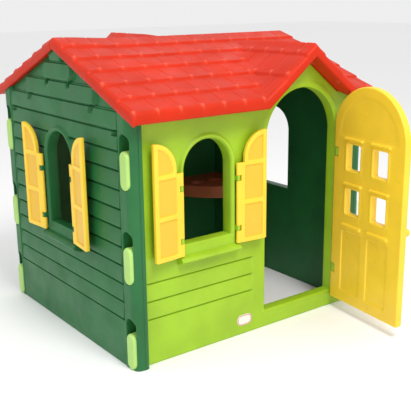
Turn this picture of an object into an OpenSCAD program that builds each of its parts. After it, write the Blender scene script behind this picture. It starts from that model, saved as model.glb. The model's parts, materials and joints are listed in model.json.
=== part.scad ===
// Moulded plastic playhouse: four interlocking wall panels, a two-part shingled roof,
// an arched door, six window shutters and a corner counter.
// House coordinates: x to the right along the front, y to the back, z up.
// The whole model is then placed with its origin under the middle of the door threshold.

/* [House] */
// Width over the outer faces of the two side walls
house_w = 1180; // [1120:10:1420]
// Depth from the front face to the back face
house_d = 1020; // [860:10:1250]
// Thickness of a side wall, boards included
side_t = 44; // [38:1:60]
// Thickness of the front and back walls
front_t = 50; // [42:1:64]
// Gap left where two panels slot together
panel_gap = 0.5; // [0.3:0.1:1]

/* [Roof] */
// Height of the main ridge
ridge_z = 1200; // [1190:5:1400]
// Fall of the main roof for each unit of run
main_fall = 0.4; // [0.3:0.01:0.46]
// Height of the ridge over the door
front_gable_z = 1160; // [1140:2:1180]
// Height of the ridge over the back wall
back_gable_z = 1180; // [1140:2:1186]
// Fall of the two cross gables for each unit of run
gable_fall = 0.77; // [0.7:0.01:1]
// Upright thickness of the main roof
roof_t = 36; // [28:1:44]
// Upright thickness of the cross gables
gable_t = 46; // [44:1:60]
// Overhang at the front and back eaves
eave_out = 78; // [50:1:110]
// Overhang at the left and right gable ends
rake_out = 12; // [10:1:20]
// Upright depth of the board along a gable end
rake_h = 54; // [46:1:64]
// Width of one shingle course, measured in plan
course = 101; // [80:1:130]
// Height of the step between two courses
course_step = 5; // [3:0.5:8]
// Depth of the joining flanges under the ridge
flange_h = 46; // [36:1:60]
// Thickness of a joining flange
flange_t = 7; // [5:1:10]
// Radius of a roof screw's shank
roof_screw_r = 3; // [2.5:0.1:4]

/* [Siding] */
// Height of one siding board
board_h = 71; // [60:1:85]
// Height of the plain base under the lowest board
base_h = 188; // [150:1:220]
// How far a board's lower edge stands out from the panel
board_t = 12; // [8:0.5:14]
// Width of the thinner strip left at the top of each board
board_lip = 3; // [2:0.5:5]
// Depth of the lap lines in the front and back walls
lap_d = 6; // [4:0.5:9]
// Number of lap lines in the front and back walls
laps = 3; // [1:1:3]
// Width of the dark pockets near the ends of the gable boards
pocket_w = 28; // [20:1:36]
// Height of those pockets
pocket_h = 15; // [10:1:20]

/* [Corners] */
// Width of a side wall's corner post, seen from the front
post_w = 58; // [54:1:66]
// How far the post stands in front of the front wall
post_out = 24; // [16:1:28]
// Radius of the post's outer corner
post_r = 32; // [10:1:36]
// Thickness of a locking tab
tab_t = 52; // [36:1:56]
// Height of a locking tab
tab_h = 142; // [110:1:150]
// Open length left above each tab
tab_drop = 60; // [40:1:66]
// Clearance of a tab in its slot
tab_gap = 0.5; // [0.3:0.1:1]
// How far a tab's end stands out of the side wall
tab_out = 3; // [1:0.5:5]
// Height of the bottom of the middle tab
tab_mid_z = 338; // [300:1:360]
// Height of the bottom of the top tab
tab_top_z = 690; // [640:1:720]

/* [Windows] */
// Width of a window opening
window_w = 220; // [160:1:224]
// Height of the sill
window_z = 447; // [440:1:470]
// Height where a window's arch begins
window_spring = 728; // [700:1:760]
// Centre of the front window from the left wall's face
window_x = 354; // [345:1:356]
// Width of the raised frame round a window
frame_w = 23; // [16:1:24]
// How far that frame stands out
frame_out = 10; // [6:0.5:10.5]
// Half width of the sill ledge
sill_half = 142; // [140:1:170]
// Height of the sill ledge
sill_h = 34; // [24:1:40]
// How far the sill ledge stands out
sill_out = 36; // [20:1:44]

/* [Shutters] */
// Distance from a window's centre to the shutter's hinge axis
shutter_hinge = 134; // [133:0.5:136]
// Reach of a shutter from its hinge axis to its free edge
shutter_w = 129; // [120:0.5:132]
// Thickness of a shutter
shutter_t = 17; // [13:0.5:17.5]
// Height of a shutter's bottom edge
shutter_z = 410; // [408:1:420]
// Height of the shoulder beside a shutter's arch
shutter_shoulder = 731; // [700:1:745]
// Upright part of a shutter's head, between its shoulder and its quarter round
shutter_rise = 18; // [0:1:30]
// Width of the strip on the hinge side of the arch
shutter_strip = 26; // [20:1:32]
// Width of the border round the shutter's panels
shutter_rail = 18; // [12:1:22]
// Depth of the shutter's panels
shutter_sink = 4; // [2:0.5:5]
// Distance from the wall's face to the shutter's hinge axis
shutter_axis = 20; // [20:0.5:24]
// Angle between an open shutter and its wall
shutter_off = 6; // [5:1:25]
// Radius of a shutter's hinge pin
shutter_pin_r = 3; // [2.5:0.1:3.5]

/* [Door] */
// Centre of the doorway from the left wall's face
door_x = 840; // [836:1:856]
// Width of the doorway
door_w = 388; // [350:1:394]
// Height of the threshold
threshold_h = 75; // [66:1:90]
// Height where the doorway's arch begins
door_spring = 796; // [760:1:802]
// Width of the raised band over the doorway
band_w = 28; // [16:1:32]
// How far that band stands out
band_out = 3; // [1:0.5:3]
// Overlap of the leaf on the doorway's free side
leaf_lap = 22; // [8:1:24]
// Thickness of the leaf
leaf_t = 30; // [24:1:32]
// Gap between the shut leaf and the wall
leaf_gap = 4; // [3:0.5:6]
// Height of the leaf's bottom edge
leaf_z = 50; // [40:1:72]
// Distance from the doorway's edge to the door's hinge axis
leaf_hinge = 3; // [2:0.5:8]
// How far the leaf stands open
leaf_open = 83; // [0:1:90]
// Width of a pane opening
pane_w = 82; // [60:1:90]
// Height of a pane opening
pane_h = 110; // [80:1:116]
// Distance between the centres of the two pane columns
pane_step = 160; // [140:1:170]
// Height of the bottom of the lower panes
pane_low_z = 452; // [440:1:470]
// Height of the bottom of the upper panes
pane_high_z = 642; // [630:1:660]
// Depth of the leaf's panels
leaf_sink = 5; // [3:0.5:8]
// Radius of a door hinge pin
door_pin_r = 5; // [4:0.1:6]
// Radius of the door knob
knob_r = 17; // [12:1:22]

/* [Counter] */
// Radius of the corner counter
counter_r = 340; // [300:5:360]
// Height of the counter's top
counter_z = 433; // [400:1:440]
// Thickness of the counter
counter_t = 62; // [46:1:66]
// Radius of the two round bowls
bowl_r = 42; // [34:1:44]
// Depth of the deeper bowl
bowl_deep = 34; // [20:1:40]
// Depth of the shallow bowl
bowl_shallow = 14; // [8:1:20]
// Radius of a counter screw's shank
counter_screw_r = 3; // [2.5:0.1:4]

/* [Badge] */
// Width of the blank oval badge
badge_w = 76; // [50:1:90]
// Height of the badge
badge_h = 46; // [30:1:56]
// Thickness of the badge
badge_t = 3; // [2:0.5:5]

/* [Hidden] */
SIDES = ["left", "right"];
$fn = 64;

// Running clearance of every pin in its bore
pin_gap = 0.05;
// Height left free between a wall's top edge and the roof
seat_gap = 0.4;
// Overshoot of every cut
cut = 1;
ridge_y = house_d / 2;
eave_front_y = -eave_out;
eave_run = ridge_y + eave_out;
inner_w = house_w - 2 * side_t;
wall_x0 = side_t + panel_gap;
wall_len = house_w - 2 * wall_x0;
// Corner zone without siding
corner_d = front_t + 2;
tab_y = tab_t / 2 - 12;
tab_heights = [2, tab_mid_z, tab_top_z];
board_count = floor((ridge_z - base_h) / board_h);
window_y = house_d / 2;
hinge_x = door_x + door_w / 2 + leaf_hinge;
axis_y = -(leaf_gap + leaf_t / 2);
leaf_mid = door_w / 2 + leaf_hinge;
leaf_r = door_w / 2 + leaf_lap;
leaf_len = leaf_mid + leaf_r;
leaf_top_lap = 6;
leaf_spring = door_spring - leaf_lap + leaf_top_lap;
lug_h = 36;
lug_r = leaf_t / 2 - 2;
door_lugs = [170, 690];
leaf_bore = 30;
shutter_lug_h = 20;
shutter_lug_r = shutter_t / 2 - 0.8;
shutter_lug_half = 0.8 * shutter_lug_r;
shutter_notch_r = sqrt(pow(shutter_t / 2, 2) + pow(shutter_lug_half, 2)) + 1.2;
shutter_lugs = [shutter_z + 50, shutter_shoulder - 70];
shutter_bore = 22;
arch_r = shutter_w - shutter_strip;
gable_x = door_x;
back_gable_x = house_w / 2;
counter_cx = house_w - side_t - panel_gap;
counter_cy = house_d - front_t - panel_gap;
counter_flange_t = 9;
counter_flange_h = 40;
roof_screw_x = [side_t + 90, house_w * 0.38, house_w * 0.62, house_w - side_t - 90];

// Underside of the main roof over a point y
function main_under(y) = ridge_z - main_fall * abs(y - ridge_y) - roof_t;

module place() {
    translate([-door_x, -front_t / 2, 0]) children();
}

// An upright profile in y and z carried along x
module along_x(x0, length) {
    translate([x0, 0, 0]) rotate([90, 0, 90]) linear_extrude(length) children();
}

// An upright profile in x and z carried along y
module along_y(y0, length) {
    translate([0, y0 + length, 0]) rotate([90, 0, 0]) linear_extrude(length) children();
}

// A rectangle with a half round on top
module arch2d(width, low, spring) {
    translate([-width / 2, low]) square([width, spring - low]);
    translate([0, spring]) circle(d = width);
}

// A slot with two round ends
module slot2d(width, low, high) {
    translate([-width / 2, low + width / 2]) square([width, high - low - width]);
    translate([0, low + width / 2]) circle(d = width);
    translate([0, high - width / 2]) circle(d = width);
}

// A rectangle with four round corners, standing on its middle
module round2d(width, height, radius) {
    square([width - 2 * radius, height], center = true);
    square([width, height - 2 * radius], center = true);
    for (i = [-1, 1], j = [-1, 1])
        translate([i * (width / 2 - radius), j * (height / 2 - radius)]) circle(radius);
}

// ---- Roof ----

// One slope's stepped upper line, from the eave to the ridge, as run and height
function courses(run, top, fall) = [
    for (i = [0 : ceil(run / course) - 1])
        let (low = i * course, high = min(run, low + course))
        each [
            [low, top - fall * (run - low) + course_step],
            [high, top - fall * (run - high)],
        ]
];

// A closed gable outline about the ridge line
module gable2d(run, top, fall, floor_z) {
    line = courses(run, top, fall);
    right = [for (p = line) [run - p[0], p[1]]];
    left = [for (i = [len(line) - 1 : -1 : 0]) [line[i][0] - run, line[i][1]]];
    polygon(concat([[-run, floor_z], [run, floor_z]], right, left));
}

// A plain gable outline for the hollow under the roof
module hollow2d(run, top, fall, floor_z) {
    polygon([[-run, floor_z], [run, floor_z], [run, top - fall * run], [0, top], [-run, top - fall * run]]);
}

eave_z = ridge_z - main_fall * eave_run;
floor_z = eave_z - roof_t;
front_run = (front_gable_z - eave_z) / gable_fall;
back_run = (back_gable_z - eave_z) / gable_fall;

module roof_outside() {
    along_x(-rake_out, house_w + 2 * rake_out)
        translate([ridge_y, 0]) gable2d(eave_run, ridge_z, main_fall, floor_z);
    along_y(-eave_out, eave_run)
        translate([gable_x, 0]) gable2d(front_run, front_gable_z, gable_fall, floor_z);
    along_y(ridge_y, eave_run)
        translate([back_gable_x, 0]) gable2d(back_run, back_gable_z, gable_fall, floor_z);
}

module roof_hollow() {
    run = eave_run + 2 * roof_t / main_fall;
    along_x(-rake_out - cut, house_w + 2 * rake_out + 2 * cut)
        translate([ridge_y, 0]) hollow2d(run, ridge_z - roof_t, main_fall, floor_z - 2 * run);
    along_y(-eave_out - cut, eave_run)
        translate([gable_x, 0])
            hollow2d(front_run, front_gable_z - gable_t, gable_fall, floor_z - cut);
    along_y(ridge_y + cut, eave_run)
        translate([back_gable_x, 0])
            hollow2d(back_run, back_gable_z - gable_t, gable_fall, floor_z - cut);
}

// The deeper board along each gable end, outside the side walls
module rake_boards() {
    for (x0 = [-rake_out, house_w + cut])
        along_x(x0, rake_out - cut)
            difference() {
                translate([ridge_y, 0])
                    hollow2d(eave_run, ridge_z - roof_t / 2, main_fall, eave_z - rake_h);
                translate([ridge_y, 0])
                    hollow2d(eave_run, ridge_z - rake_h, main_fall, eave_z - 2 * rake_h);
            }
}

module ridge_flange(y0) {
    x0 = side_t + 14;
    difference() {
        translate([x0, y0, ridge_z - roof_t - flange_h])
            cube([house_w - 2 * x0, flange_t, flange_h + roof_t / 2]);
        for (x = roof_screw_x)
            translate([x, y0 - cut, ridge_z - roof_t - flange_h / 2]) rotate([-90, 0, 0])
                cylinder(r = roof_screw_r + pin_gap, h = flange_t + 2 * cut);
    }
}

module roof_shell() {
    difference() {
        roof_outside();
        roof_hollow();
    }
    rake_boards();
}

module roof_half(y0) {
    intersection() {
        roof_shell();
        translate([-2 * rake_out, y0, 0])
            cube([house_w + 4 * rake_out, eave_run + cut, 2 * ridge_z]);
    }
}

module roof_front() {
    color("orangered") place() {
        roof_half(ridge_y - eave_run - cut);
        ridge_flange(ridge_y - flange_t);
    }
}

module roof_back() {
    color("orangered") place() {
        roof_half(ridge_y);
        ridge_flange(ridge_y);
    }
}

module roof_screws() {
    grip = 2 * flange_t;
    color("silver") place()
        for (x = roof_screw_x)
            translate([x, ridge_y - flange_t, ridge_z - roof_t - flange_h / 2]) rotate([-90, 0, 0]) {
                cylinder(r = roof_screw_r, h = grip + 6);
                translate([0, 0, -4]) cylinder(r = 2.4 * roof_screw_r, h = 4);
            }
}

// ---- Side walls, built as the left one ----

// Half width of the board whose top edge is at height z, so that it hides under the roof
function board_half(z) = min(ridge_y - corner_d, (ridge_z - roof_t - 2 - z) / main_fall);

module side_boards() {
    translate([board_lip, corner_d, 0]) cube([board_t - board_lip + cut, house_d - 2 * corner_d, base_h]);
    for (i = [0 : board_count - 1]) {
        low = base_h + i * board_h;
        high = min(low + board_h, ridge_z - rake_h - 10);
        half = board_half(high);
        if (high > low && half > 0)
            along_y(ridge_y - half, 2 * half)
                polygon([[0, low], [board_t - board_lip, high], [board_t + cut, high], [board_t + cut, low]]);
    }
}

module side_pockets() {
    for (i = [0 : board_count - 1]) {
        line = base_h + i * board_h;
        half = board_half(min(line + board_h, ridge_z - rake_h - 10)) - pocket_w;
        if (half < ridge_y - corner_d - pocket_w && half > 0)
            for (s = [-1, 1])
                translate([-cut, ridge_y + s * half - pocket_w / 2, line - pocket_h])
                    cube([board_t + 8, pocket_w, pocket_h]);
    }
}

module post2d() {
    reach = post_out + corner_d;
    translate([post_r, -post_out]) square([post_w - post_r - 8, reach]);
    translate([0, post_r - post_out]) square([post_w, reach - post_r]);
    translate([post_w - 8, 8 - post_out]) square([8, reach - 8]);
    translate([post_r, post_r - post_out]) circle(post_r);
    translate([post_w - 8, 8 - post_out]) circle(8);
}

module side_posts() {
    height = main_under(-post_out) - seat_gap;
    for (m = [0, 1])
        translate([0, m * house_d, 0]) mirror([0, m, 0])
            difference() {
                linear_extrude(height) post2d();
                translate([side_t, -panel_gap, -cut])
                    cube([post_w, corner_d + 2 * cut, height + 2 * cut]);
            }
}

module side_window_cut() {
    along_x(-frame_out - cut, side_t + frame_out + 2 * cut)
        translate([window_y, 0]) arch2d(window_w, window_z, window_spring);
}

// Raised frame, sill ledge and hinge lugs of a window that faces -y and is centred on x = 0
module window_trim(back) {
    along_y(-frame_out, frame_out + back)
        difference() {
            arch2d(window_w + 2 * frame_w, shutter_z - 6, window_spring);
            arch2d(window_w, window_z, window_spring);
        }
    along_x(-sill_half, 2 * sill_half)
        polygon([
            [back, shutter_z - 6], [-sill_out + 8, shutter_z - 7], [-sill_out, shutter_z - 12],
            [-sill_out, shutter_z - 18], [-sill_out + 8, shutter_z - 24],
            [0, shutter_z - 6 - sill_h], [back, shutter_z - 6 - sill_h],
        ]);
    for (s = [-1, 1], z = shutter_lugs)
        translate([s * shutter_hinge, -shutter_axis, z]) difference() {
            union() {
                cylinder(r = shutter_lug_r, h = shutter_lug_h);
                translate([-shutter_lug_half, 0, 0])
                    cube([2 * shutter_lug_half, shutter_axis + back, shutter_lug_h]);
            }
            translate([0, 0, -cut]) cylinder(r = shutter_pin_r + pin_gap, h = shutter_lug_h + 2 * cut);
        }
}

module side_wall() {
    difference() {
        union() {
            along_x(board_t, side_t - board_t)
                polygon([
                    [0, 0], [house_d, 0], [house_d, main_under(0) - seat_gap],
                    [ridge_y, ridge_z - roof_t - seat_gap], [0, main_under(0) - seat_gap],
                ]);
            side_boards();
            side_posts();
        }
        for (m = [0, 1], z = tab_heights)
            translate([0, m * house_d, 0]) mirror([0, m, 0])
                along_x(-cut, side_t + 2 * cut) translate([tab_y, 0])
                    slot2d(tab_t + 2 * tab_gap, z - tab_gap, z + tab_h + tab_drop);
        side_window_cut();
        side_pockets();
    }
    difference() {
        translate([0, window_y, 0]) rotate([0, 0, -90]) window_trim(board_t + cut);
        side_window_cut();
    }
}

module left_wall() {
    color("seagreen") place() side_wall();
}

module right_wall() {
    color("seagreen") place() difference() {
        translate([house_w, 0, 0]) mirror([1, 0, 0]) side_wall();
        counter_screw_bores();
    }
}

// ---- Front and back walls ----

module gable_wall2d(x_mid, top, lift) {
    peak = top - gable_t - seat_gap;
    level = main_under(0) - seat_gap;
    half = (peak - level) / gable_fall;
    polygon([
        [wall_x0, 0], [wall_x0 + wall_len, 0], [wall_x0 + wall_len, level],
        [x_mid + half, level], [x_mid, peak], [x_mid - half, level], [wall_x0, level],
    ]);
}

// Tabs that close both ends of a wall, each seated on the wall's end face
module wall_tabs() {
    reach = wall_x0 + tab_out;
    for (x0 = [-tab_out, house_w - wall_x0], z = tab_heights)
        along_x(x0, reach) translate([tab_y, 0]) slot2d(tab_t, z, z + tab_h);
}

module lap_lines(x0, x1) {
    for (i = [0 : laps - 1]) {
        line = base_h + i * board_h;
        along_x(x0, x1 - x0) polygon([[-cut, line], [lap_d, line], [-cut, line - board_h]]);
    }
}

module door_lug(z) {
    translate([hinge_x, axis_y, z]) difference() {
        union() {
            cylinder(r = lug_r, h = lug_h);
            cube([lug_r, cut - axis_y, lug_h]);
        }
        translate([0, 0, -cut]) cylinder(r = door_pin_r + pin_gap, h = lug_h + 2 * cut);
    }
}

module front_wall() {
    jamb = door_x - door_w / 2;
    color("yellowgreen") place() {
        difference() {
            along_y(0, front_t) gable_wall2d(gable_x, front_gable_z);
            along_y(-cut, front_t + 2 * cut) {
                translate([window_x, 0]) arch2d(window_w, window_z, window_spring);
                translate([door_x, 0]) arch2d(door_w, threshold_h, door_spring);
            }
            lap_lines(post_w + 14, jamb - 60);
        }
        translate([window_x, 0, 0]) window_trim(cut);
        along_y(-band_out, band_out + cut) intersection() {
            difference() {
                translate([door_x, door_spring]) circle(door_w / 2 + band_w);
                translate([door_x, door_spring]) circle(door_w / 2);
            }
            translate([0, door_spring]) square([house_w, ridge_z]);
        }
        for (z = door_lugs) door_lug(z);
    }
}

module back_wall() {
    color("seagreen") place() difference() {
        translate([0, house_d, 0]) mirror([0, 1, 0]) difference() {
            along_y(0, front_t) gable_wall2d(back_gable_x, back_gable_z);
            lap_lines(post_w + 14, house_w - post_w - 14);
        }
        counter_screw_bores();
    }
}

module front_wall_tabs() {
    color("palegreen") place() wall_tabs();
}

module back_wall_tabs() {
    color("palegreen") place() translate([0, house_d, 0]) mirror([0, 1, 0]) wall_tabs();
}

// ---- Shutters, built shut on a wall that faces -y with the window's centre on x = 0 ----

module shutter2d() {
    translate([0, shutter_z]) square([shutter_w, shutter_shoulder - shutter_z]);
    translate([shutter_strip, shutter_shoulder - cut]) square([arch_r, shutter_rise + cut]);
    intersection() {
        translate([shutter_w, shutter_shoulder + shutter_rise]) circle(arch_r);
        translate([0, shutter_z]) square([shutter_w, house_w]);
    }
}

module shutter_panels2d() {
    low = shutter_z + shutter_rail;
    split = shutter_shoulder - shutter_rail;
    middle = (low + split) / 2;
    x0 = shutter_strip + shutter_rail;
    width = shutter_w - x0 - shutter_rail;
    translate([x0, low]) square([width, middle - low - shutter_rail / 2]);
    translate([x0, middle + shutter_rail / 2]) square([width, split - middle - shutter_rail / 2]);
    translate([x0, shutter_shoulder]) square([width, shutter_rise]);
    intersection() {
        translate([shutter_w, shutter_shoulder + shutter_rise]) circle(arch_r - shutter_rail);
        translate([x0, shutter_shoulder]) square([width, shutter_rise + arch_r]);
    }
}

// A shutter about its hinge axis, reaching along +x
module shutter_flat() {
    difference() {
        union() {
            along_y(-shutter_t / 2, shutter_t) shutter2d();
            translate([0, 0, shutter_z]) cylinder(d = shutter_t, h = shutter_shoulder - shutter_z);
        }
        for (y0 = [-shutter_t / 2 - cut, shutter_t / 2 - shutter_sink])
            along_y(y0, shutter_sink + cut) shutter_panels2d();
        for (z = shutter_lugs) {
            translate([0, 0, z - 1]) cylinder(r = shutter_notch_r, h = shutter_lug_h + 2);
            translate([0, 0, z - shutter_bore])
                cylinder(r = shutter_pin_r + pin_gap, h = shutter_lug_h + 2 * shutter_bore);
        }
    }
}

// side is -1 for the shutter on the left of the window, 1 for the one on its right
module shutter_at(side) {
    translate([side * shutter_hinge, -shutter_axis, 0])
        rotate([0, 0, side < 0 ? 180 + shutter_off : -shutter_off])
            mirror([0, side < 0 ? 0 : 1, 0]) shutter_flat();
}

module shutter_pins_at(side) {
    for (z = shutter_lugs)
        translate([side * shutter_hinge, -shutter_axis, z - shutter_bore + 1])
            cylinder(r = shutter_pin_r, h = shutter_lug_h + 2 * shutter_bore - 2);
}

// Turns a front window's piece to the window of a side wall
module on_front() {
    place() translate([window_x, 0, 0]) children();
}

module on_left() {
    place() translate([0, window_y, 0]) rotate([0, 0, -90]) children();
}

module on_right() {
    place() translate([house_w, window_y, 0]) rotate([0, 0, 90]) children();
}

module front_shutter_left() {
    color("gold") on_front() shutter_at(-1);
}

module front_shutter_right() {
    color("gold") on_front() shutter_at(1);
}

module left_shutter_front() {
    color("gold") on_left() shutter_at(1);
}

module left_shutter_back() {
    color("gold") on_left() shutter_at(-1);
}

module right_shutter_front() {
    color("gold") on_right() shutter_at(-1);
}

module right_shutter_back() {
    color("gold") on_right() shutter_at(1);
}

module front_shutter_left_pins() {
    color("silver") on_front() shutter_pins_at(-1);
}

module front_shutter_right_pins() {
    color("silver") on_front() shutter_pins_at(1);
}

module left_shutter_front_pins() {
    color("silver") on_left() shutter_pins_at(1);
}

module left_shutter_back_pins() {
    color("silver") on_left() shutter_pins_at(-1);
}

module right_shutter_front_pins() {
    color("silver") on_right() shutter_pins_at(-1);
}

module right_shutter_back_pins() {
    color("silver") on_right() shutter_pins_at(1);
}

// ---- Door, built shut, reaching along -x from its hinge axis ----

module leaf2d() {
    translate([-leaf_len, leaf_z]) square([2 * leaf_r, leaf_spring - leaf_z]);
    translate([-leaf_mid, leaf_spring]) circle(leaf_r);
}

module leaf_panels2d() {
    border = 40;
    for (s = [-1, 1])
        translate([-leaf_mid + s * pane_step / 2, leaf_z + border])
            translate([-pane_w / 2 - 6, 0]) square([pane_w + 12, pane_low_z - 56 - leaf_z - border]);
}

module door_at() {
    place() translate([hinge_x, axis_y, 0]) rotate([0, 0, leaf_open]) children();
}

knob_u = leaf_len - 26;
knob_z = 440;
spindle_r = 6;

module door_leaf() {
    color("gold") door_at() difference() {
        intersection() {
            along_y(-leaf_t / 2, leaf_t) leaf2d();
            union() {
                translate([-leaf_len, -leaf_t, 0]) cube([leaf_len, 2 * leaf_t, ridge_z]);
                cylinder(d = leaf_t, h = ridge_z);
            }
        }
        along_y(-leaf_t, 2 * leaf_t)
            for (s = [-1, 1], z = [pane_low_z, pane_high_z])
                translate([-leaf_mid + s * pane_step / 2 - pane_w / 2, z]) square([pane_w, pane_h]);
        for (y0 = [-leaf_t / 2 - cut, leaf_t / 2 - leaf_sink])
            along_y(y0, leaf_sink + cut) leaf_panels2d();
        for (z = door_lugs) {
            translate([0, 0, z - 1]) cylinder(r = leaf_t / 2 + 1, h = lug_h + 2);
            translate([0, 0, z - leaf_bore]) cylinder(r = door_pin_r + pin_gap, h = lug_h + 2 * leaf_bore);
        }
        translate([-knob_u, -leaf_t / 2 - cut, knob_z]) rotate([-90, 0, 0])
            cylinder(r = spindle_r + pin_gap, h = leaf_t / 2 + cut);
    }
}

module door_knob() {
    color("gold") door_at() translate([-knob_u, -leaf_t / 2, knob_z]) rotate([90, 0, 0])
        rotate_extrude() {
            translate([0, 1 - leaf_t / 2]) square([spindle_r, leaf_t / 2]);
            translate([0, 0.3]) square([knob_r * 0.62, 18]);
            intersection() {
                translate([0, 18]) scale(1) circle(knob_r);
                translate([0, 8]) square([knob_r, knob_r * 1.5]);
            }
        }
}

module door_pin(z) {
    door_pin_len = lug_h + 2 * leaf_bore - 2;
    color("silver") place() translate([hinge_x, axis_y, z - leaf_bore + 1])
        cylinder(r = door_pin_r, h = door_pin_len);
}

module door_pin_upper() {
    door_pin(door_lugs[1]);
}

module door_pin_lower() {
    door_pin(door_lugs[0]);
}

// ---- Counter ----

counter_screw_off = [110, 250];
screw_z = counter_z - counter_t - counter_flange_h / 2;
screw_in = 22;

// Where each counter screw enters its wall, pointing into the wall along +z
module counter_screw_places() {
    for (d = counter_screw_off) {
        translate([counter_cx - d, counter_cy - counter_flange_t, screw_z]) rotate([-90, 0, 0]) children();
        translate([counter_cx - counter_flange_t, counter_cy - d, screw_z]) rotate([0, 90, 0]) children();
    }
}

module counter_screw_bores() {
    counter_screw_places() cylinder(r = counter_screw_r + pin_gap, h = counter_flange_t + screw_in + cut);
}

module corner_counter() {
    color("sienna") place() difference() {
        union() {
            intersection() {
                translate([counter_cx, counter_cy, counter_z - counter_t])
                    cylinder(r = counter_r, h = counter_t, $fn = 128);
                translate([counter_cx - counter_r, counter_cy - counter_r, 0])
                    cube([counter_r, counter_r, counter_z]);
            }
            translate([counter_cx - counter_r + 30, counter_cy - counter_flange_t,
                    counter_z - counter_t - counter_flange_h])
                cube([counter_r - 30, counter_flange_t, counter_flange_h + cut]);
            translate([counter_cx - counter_flange_t, counter_cy - counter_r + 30,
                    counter_z - counter_t - counter_flange_h])
                cube([counter_flange_t, counter_r - 30, counter_flange_h + cut]);
        }
        translate([counter_cx - 218, counter_cy - 147, counter_z - bowl_deep])
            cylinder(r = bowl_r, h = bowl_deep + cut);
        translate([counter_cx - 121, counter_cy - 158, counter_z - bowl_shallow])
            cylinder(r = bowl_r, h = bowl_shallow + cut);
        counter_screw_bores();
    }
}

module counter_screws() {
    color("silver") place() counter_screw_places() {
        cylinder(r = counter_screw_r, h = counter_flange_t + screw_in);
        translate([0, 0, -3]) cylinder(r = 2.2 * counter_screw_r, h = 3);
    }
}

// ---- Badge ----

module blank_badge() {
    color("ivory") place() translate([door_x - door_w / 2 - 110, -badge_t, base_h / 3])
        rotate([-90, 0, 0]) linear_extrude(badge_t) round2d(badge_w, badge_h, badge_h / 2 - 1);
}

front_wall();
front_wall_tabs();
back_wall();
back_wall_tabs();
left_wall();
right_wall();
roof_front();
roof_back();
door_leaf();
door_knob();
door_pin_upper();
door_pin_lower();
front_shutter_left();
front_shutter_right();
left_shutter_front();
left_shutter_back();
right_shutter_front();
right_shutter_back();
front_shutter_left_pins();
front_shutter_right_pins();
left_shutter_front_pins();
left_shutter_back_pins();
right_shutter_front_pins();
right_shutter_back_pins();
corner_counter();
counter_screws();
roof_screws();
blank_badge();
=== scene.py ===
"""Looks of the moulded plastic playhouse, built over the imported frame.

Every panel is a moulded plate: a 2-D outline given as a signed distance, a relief on each
face, and a rolled edge. The roof, walls, door, shutters, counter and badge are all made by
the one mesher, and each stands for its own piece of the frame.
"""

from __future__ import annotations

import json
import logging
import math
from dataclasses import dataclass
from enum import Enum
from typing import Callable, Iterable, Sequence

import bpy
import numpy as np
from mathutils import Matrix, Vector

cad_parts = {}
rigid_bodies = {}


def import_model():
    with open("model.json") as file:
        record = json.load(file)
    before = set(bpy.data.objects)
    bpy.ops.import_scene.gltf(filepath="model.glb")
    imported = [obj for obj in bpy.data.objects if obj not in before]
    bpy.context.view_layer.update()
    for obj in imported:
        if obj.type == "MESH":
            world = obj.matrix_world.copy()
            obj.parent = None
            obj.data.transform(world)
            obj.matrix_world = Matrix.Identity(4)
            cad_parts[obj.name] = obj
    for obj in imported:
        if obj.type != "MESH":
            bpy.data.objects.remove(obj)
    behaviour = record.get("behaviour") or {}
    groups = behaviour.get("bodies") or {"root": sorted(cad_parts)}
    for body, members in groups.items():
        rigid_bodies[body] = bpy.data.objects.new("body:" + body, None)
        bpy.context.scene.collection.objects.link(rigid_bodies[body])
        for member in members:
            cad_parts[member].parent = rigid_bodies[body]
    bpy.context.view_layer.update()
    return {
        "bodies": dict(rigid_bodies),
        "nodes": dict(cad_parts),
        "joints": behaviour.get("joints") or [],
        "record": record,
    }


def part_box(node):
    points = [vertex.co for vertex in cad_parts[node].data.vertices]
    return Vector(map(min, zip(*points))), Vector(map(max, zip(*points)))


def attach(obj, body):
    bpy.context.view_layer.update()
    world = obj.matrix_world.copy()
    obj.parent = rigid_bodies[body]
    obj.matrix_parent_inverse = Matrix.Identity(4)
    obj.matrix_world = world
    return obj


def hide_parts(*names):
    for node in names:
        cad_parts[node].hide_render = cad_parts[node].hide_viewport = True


LOG = logging.getLogger("playhouse")
SHARP_DEG = 38.0  # edges sharper than this are shaded as edges
THIN = 2e-4  # least half thickness of a plate, and the step of its outline's slope
X, Y, Z = Vector((1, 0, 0)), Vector((0, 1, 0)), Vector((0, 0, 1))
Array = np.ndarray
Field = Callable[[Array, Array], Array]
Surface = tuple[Array, list[list[int]]]  # points, and faces as corner numbers


# ---------------------------------------------------------------- outlines and reliefs


def smooth(t: Array) -> Array:
    """Smooth step: 0 below 0, 1 above 1, and 3t^2 - 2t^3 between."""
    t = np.clip(t, 0.0, 1.0)
    return t * t * (3.0 - 2.0 * t)


def box_sd(u: Array, v: Array, low: Sequence[float], high: Sequence[float], radius: float = 0.0) -> Array:
    """Signed distance to an upright box with round corners.

    Args:
        u: First coordinate.
        v: Second coordinate.
        low: Lowest corner.
        high: Highest corner.
        radius: Corner radius.

    Returns:
        Distance, negative inside.
    """
    du = np.abs(u - (low[0] + high[0]) / 2) - (high[0] - low[0]) / 2 + radius
    dv = np.abs(v - (low[1] + high[1]) / 2) - (high[1] - low[1]) / 2 + radius
    outer = np.hypot(np.maximum(du, 0), np.maximum(dv, 0))
    return outer + np.minimum(np.maximum(du, dv), 0) - radius


def arch_sd(u: Array, v: Array, mid: float, half: float, low: float, spring: float) -> Array:
    """Signed distance to a box with a half round on top.

    Args:
        u: First coordinate.
        v: Height.
        mid: Middle of the arch.
        half: Half width, also the arch's radius.
        low: Bottom edge.
        spring: Height where the arch begins.

    Returns:
        Distance, negative inside.
    """
    top = np.hypot(u - mid, v - spring) - half
    tall = spring + half - low
    foot = box_sd(u, v, (mid - half, low), (mid + half, low + 2 * tall))
    return np.where(v > spring, top, foot)


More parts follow.
